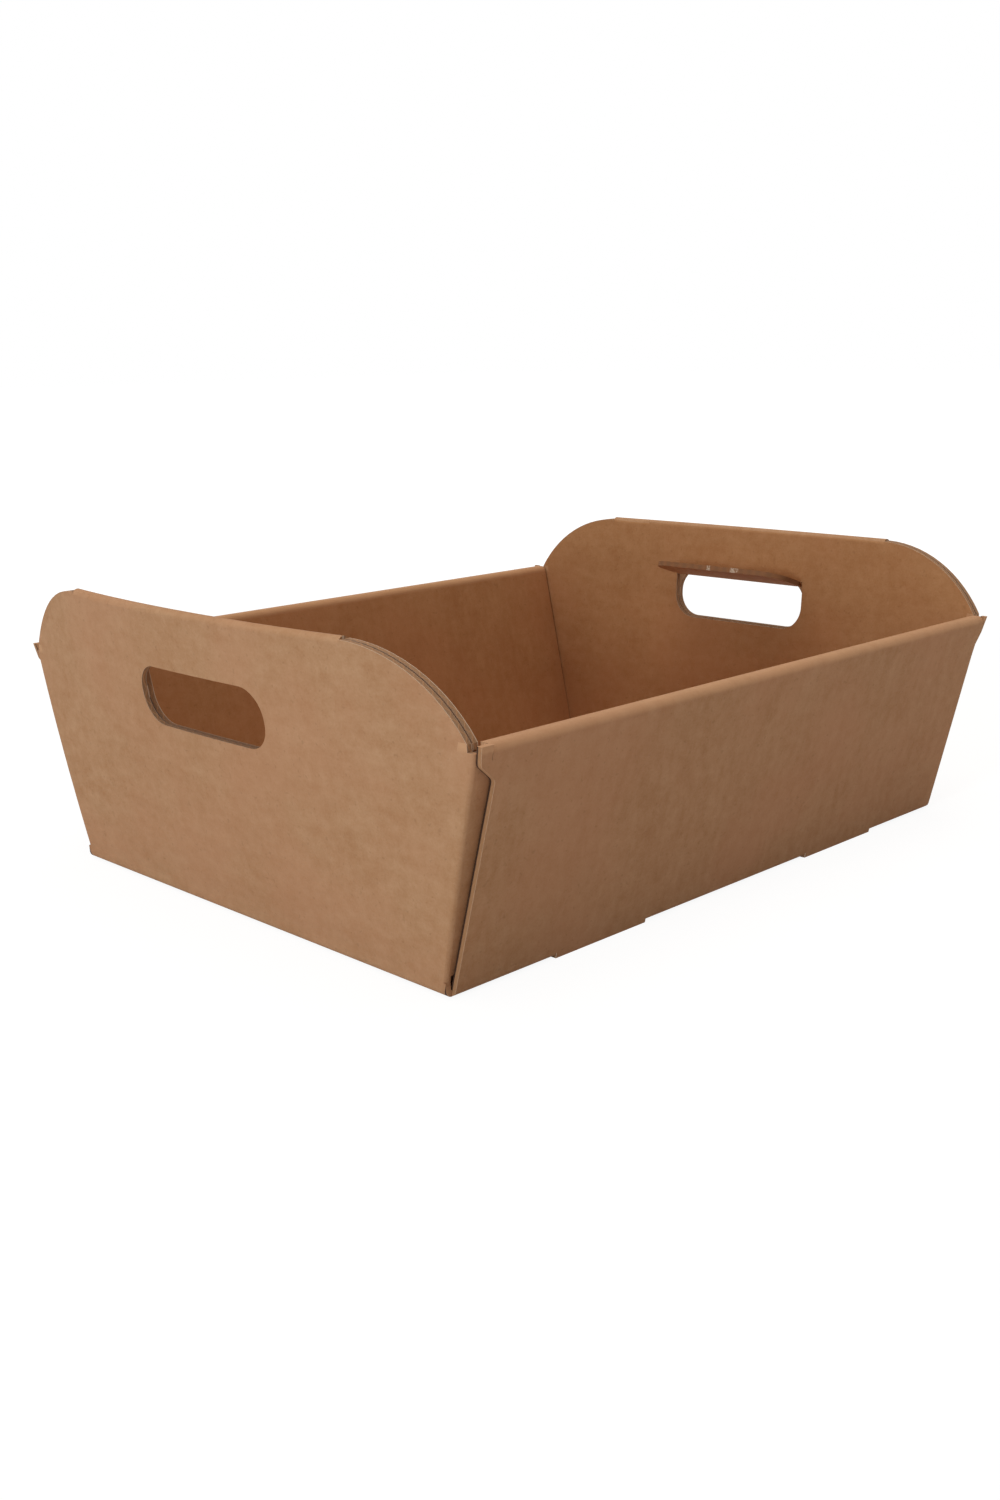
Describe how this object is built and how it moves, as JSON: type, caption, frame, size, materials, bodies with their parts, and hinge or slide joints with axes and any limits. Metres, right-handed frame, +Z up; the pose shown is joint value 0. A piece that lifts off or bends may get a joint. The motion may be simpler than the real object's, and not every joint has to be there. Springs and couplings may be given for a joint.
{
  "type": "hamper box",
  "caption": "Open hamper tray folded from corrugated card, with raised ends, hand holes and double walls.",
  "frame": {"origin": "on the surface the tray stands on, under the middle of the whole box", "axes": "+X along the box towards the far handle end, +Y across it, +Z up"},
  "size_m": [0.4378, 0.36, 0.1592],
  "materials": {
    "kraft_board": "uncoated brown kraft liner, matt, lightly mottled"
  },
  "bodies": {
    "tray": {"folded_tray": "kraft_board"},
    "near_flap": {"near_hand_flap": "kraft_board"},
    "far_flap": {"far_hand_flap": "kraft_board"}
  },
  "joints": [
    {"name": "near_flap_crease", "type": "hinge", "parent": "tray", "child": "near_flap", "pos_m": [-0.2064, 0, 0.1281], "axis": [0, 1, 0], "range_deg": [0, 96.5]},
    {"name": "far_flap_crease", "type": "hinge", "parent": "tray", "child": "far_flap", "pos_m": [0.21009, 0, 0.1281], "axis": [0, -1, 0], "range_deg": [0, 103.7]}
  ]
}
